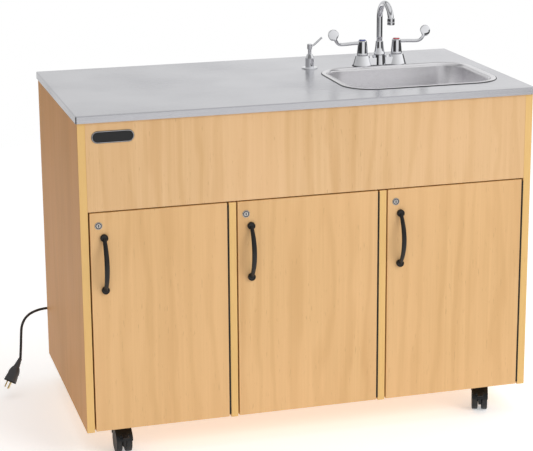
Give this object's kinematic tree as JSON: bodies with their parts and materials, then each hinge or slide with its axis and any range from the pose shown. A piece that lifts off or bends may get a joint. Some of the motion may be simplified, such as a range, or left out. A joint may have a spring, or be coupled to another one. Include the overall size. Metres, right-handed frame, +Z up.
{
  "type": "portable handwash sink",
  "caption": "Wheeled laminate cabinet with a stainless worktop and bowl, gooseneck faucet with wrist blades, soap pump, locking doors, water tanks and a power cord.",
  "frame": {"origin": "on the floor under the middle of the sink's box, its free cord left out", "axes": "+Z up, +X to the right of someone facing the doors, -Y out of the doors"},
  "size_m": [1.3697, 0.7564, 1.102],
  "materials": {
    "maple_laminate": "satin laminate with maple figure",
    "core_board": "raw board",
    "stainless": "brushed, softly mirroring",
    "chrome": "polished",
    "plated_steel": "zinc plated",
    "black_metal": "satin black powder coat",
    "black_plastic": "fine moulded grain",
    "black_rubber": "matt",
    "tank_plastic": "translucent moulded",
    "hose_plastic": "smooth flexible",
    "heater_enamel": "white enamel",
    "brass_prongs": "bright"
  },
  "bodies": {
    "cabinet": {"side_panel_left": "maple_laminate", "side_panel_right": "maple_laminate", "dividers": "maple_laminate", "floor_panel": "maple_laminate", "back_panel": "maple_laminate", "fascia": "maple_laminate", "worktop": "stainless", "worktop_core": "core_board", "basin": "stainless", "drain_strainer": "chrome", "drain_hose": "hose_plastic", "waste_tank": "tank_plastic", "fresh_tank": "tank_plastic", "tank_caps": "black_plastic", "water_pump": "black_plastic", "water_heater": "heater_enamel", "water_hoses": "hose_plastic", "faucet_base": "chrome", "faucet_mounting": "black_rubber", "soap_collar": "chrome", "soap_bottle": "tank_plastic", "nameplate": "black_plastic", "storage_shelf": "maple_laminate", "hinge_leaves_fixed": "black_metal", "caster_plates": "plated_steel", "cord_gland": "black_rubber", "cord_hook": "black_metal", "power_cord": "black_rubber", "cord_coil": "black_rubber", "plug_body": "black_rubber", "plug_blades": "brass_prongs"},
    "door_left": {"door_left": "maple_laminate", "pull_left": "black_metal", "lock_left": "chrome", "hinge_leaf_left": "black_metal"},
    "cam_left": {"cam_left": "chrome"},
    "door_middle": {"door_middle": "maple_laminate", "pull_middle": "black_metal", "lock_middle": "chrome", "hinge_leaf_middle": "black_metal"},
    "cam_middle": {"cam_middle": "chrome"},
    "door_right": {"door_right": "maple_laminate", "pull_right": "black_metal", "lock_right": "chrome", "hinge_leaf_right": "black_metal"},
    "cam_right": {"cam_right": "chrome"},
    "spout": {"spout": "chrome"},
    "handle_cold": {"handle_cold": "chrome"},
    "handle_hot": {"handle_hot": "chrome"},
    "soap_pump": {"soap_pump": "chrome"},
    "caster_front_left": {"caster_hood_front_left": "black_plastic"},
    "wheels_front_left": {"caster_wheels_front_left": "black_rubber"},
    "brake_front_left": {"brake_lever_front_left": "black_plastic"},
    "caster_front_right": {"caster_hood_front_right": "black_plastic"},
    "wheels_front_right": {"caster_wheels_front_right": "black_rubber"},
    "brake_front_right": {"brake_lever_front_right": "black_plastic"},
    "caster_back_left": {"caster_hood_back_left": "black_plastic"},
    "wheels_back_left": {"caster_wheels_back_left": "black_rubber"},
    "caster_back_right": {"caster_hood_back_right": "black_plastic"},
    "wheels_back_right": {"caster_wheels_back_right": "black_rubber"}
  },
  "joints": [
    {"name": "door_left_hinge", "type": "hinge", "parent": "cabinet", "child": "door_left", "pos_m": [-0.228, -0.319, 0.082], "axis": [0, 0, 1], "range_deg": [0, 105]},
    {"name": "lock_left_turn", "type": "hinge", "parent": "door_left", "child": "cam_left", "pos_m": [-0.5635, -0.319, 0.6305], "axis": [0, -1, 0], "range_deg": [0, 90]},
    {"name": "door_middle_hinge", "type": "hinge", "parent": "cabinet", "child": "door_middle", "pos_m": [0.17975, -0.319, 0.082], "axis": [0, 0, 1], "range_deg": [0, 105]},
    {"name": "lock_middle_turn", "type": "hinge", "parent": "door_middle", "child": "cam_middle", "pos_m": [-0.181, -0.319, 0.6305], "axis": [0, -1, 0], "range_deg": [0, 90]},
    {"name": "door_right_hinge", "type": "hinge", "parent": "cabinet", "child": "door_right", "pos_m": [0.5875, -0.319, 0.082], "axis": [0, 0, 1], "range_deg": [0, 105]},
    {"name": "lock_right_turn", "type": "hinge", "parent": "door_right", "child": "cam_right", "pos_m": [0.22675, -0.319, 0.6305], "axis": [0, -1, 0], "range_deg": [0, 90]},
    {"name": "spout_swivel", "type": "hinge", "parent": "cabinet", "child": "spout", "pos_m": [0.3365, 0.123, 0.943], "axis": [0, 0, 1], "range_deg": [-90, 90]},
    {"name": "cold_handle_turn", "type": "hinge", "parent": "cabinet", "child": "handle_cold", "pos_m": [0.2855, 0.123, 0.943], "axis": [0, 0, 1], "range_deg": [0, 90]},
    {"name": "hot_handle_turn", "type": "hinge", "parent": "cabinet", "child": "handle_hot", "pos_m": [0.3875, 0.123, 0.943], "axis": [0, 0, -1], "range_deg": [0, 90]},
    {"name": "soap_pump_press", "type": "slide", "parent": "cabinet", "child": "soap_pump", "axis": [0, 0, -1], "range_m": [0, 0.01], "stiffness_N_per_m": 250, "springref_m": -0.012},
    {"name": "caster_front_left_swivel", "type": "hinge", "parent": "cabinet", "child": "caster_front_left", "pos_m": [-0.5095, -0.244, 0.077], "axis": [0, 0, 1], "continuous": true},
    {"name": "wheels_front_left_spin", "type": "hinge", "parent": "caster_front_left", "child": "wheels_front_left", "pos_m": [-0.5095, -0.269, 0.03175], "axis": [1, 0, 0], "continuous": true},
    {"name": "brake_front_left_press", "type": "hinge", "parent": "caster_front_left", "child": "brake_front_left", "pos_m": [-0.5095, -0.30271, 0.05535], "axis": [1, 0, 0], "range_deg": [0, 15]},
    {"name": "caster_front_right_swivel", "type": "hinge", "parent": "cabinet", "child": "caster_front_right", "pos_m": [0.5095, -0.244, 0.077], "axis": [0, 0, 1], "continuous": true},
    {"name": "wheels_front_right_spin", "type": "hinge", "parent": "caster_front_right", "child": "wheels_front_right", "pos_m": [0.50054, -0.26734, 0.03175], "axis": [0.9336, -0.3584, 0], "continuous": true},
    {"name": "brake_front_right_press", "type": "hinge", "parent": "caster_front_right", "child": "brake_front_right", "pos_m": [0.48846, -0.29881, 0.05535], "axis": [0.9336, -0.3584, 0], "range_deg": [0, 15]},
    {"name": "caster_back_left_swivel", "type": "hinge", "parent": "cabinet", "child": "caster_back_left", "pos_m": [-0.5095, 0.236, 0.077], "axis": [0, 0, 1], "continuous": true},
    {"name": "wheels_back_left_spin", "type": "hinge", "parent": "caster_back_left", "child": "wheels_back_left", "pos_m": [-0.50303, 0.21185, 0.03175], "axis": [0.9659, 0.2588, 0], "continuous": true},
    {"name": "caster_back_right_swivel", "type": "hinge", "parent": "cabinet", "child": "caster_back_right", "pos_m": [0.5095, 0.236, 0.077], "axis": [0, 0, 1], "continuous": true},
    {"name": "wheels_back_right_spin", "type": "hinge", "parent": "caster_back_right", "child": "wheels_back_right", "pos_m": [0.50095, 0.21251, 0.03175], "axis": [0.9397, -0.342, 0], "continuous": true}
  ]
}
